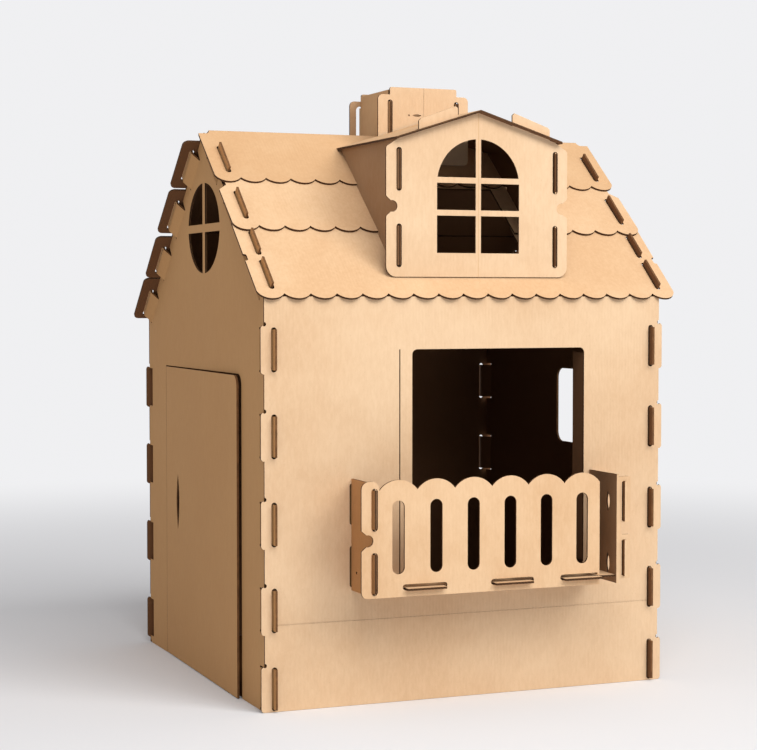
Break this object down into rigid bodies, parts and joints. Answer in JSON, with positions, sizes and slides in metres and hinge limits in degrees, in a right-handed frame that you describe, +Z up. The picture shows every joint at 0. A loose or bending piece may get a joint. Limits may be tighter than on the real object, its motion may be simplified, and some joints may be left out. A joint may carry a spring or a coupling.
{
  "type": "cardboard playhouse",
  "caption": "Child's playhouse of slotted brown corrugated board: walls, door flap, windows, scalloped roof, dormer, chimney and balcony.",
  "frame": {"origin": "on the floor under the middle of the four walls", "axes": "+Z up, the front wall with doorway and balcony faces -Y, the door gable faces -X"},
  "size_m": [1.058, 1.088, 1.4035],
  "materials": {
    "wall_board": "matt brown kraft liner",
    "roof_board": "matt brown kraft liner",
    "trim_board": "matt brown kraft liner"
  },
  "bodies": {
    "root": {"front_wall": "wall_board", "rear_wall": "wall_board", "left_gable_wall": "wall_board", "right_gable_wall": "wall_board", "front_roof_lower_tier": "roof_board", "rear_roof_lower_tier": "roof_board", "front_roof_middle_tier": "roof_board", "rear_roof_middle_tier": "roof_board", "roof_ridge_cap": "roof_board", "dormer_front": "trim_board", "dormer_left_cheek": "trim_board", "dormer_right_cheek": "trim_board", "dormer_roof": "roof_board", "chimney_front": "trim_board", "chimney_rear": "trim_board", "chimney_left_side": "trim_board", "chimney_right_side": "trim_board", "balcony_front": "trim_board", "balcony_left_side": "trim_board", "balcony_right_side": "trim_board", "balcony_floor": "trim_board"}
  },
  "joints": []
}
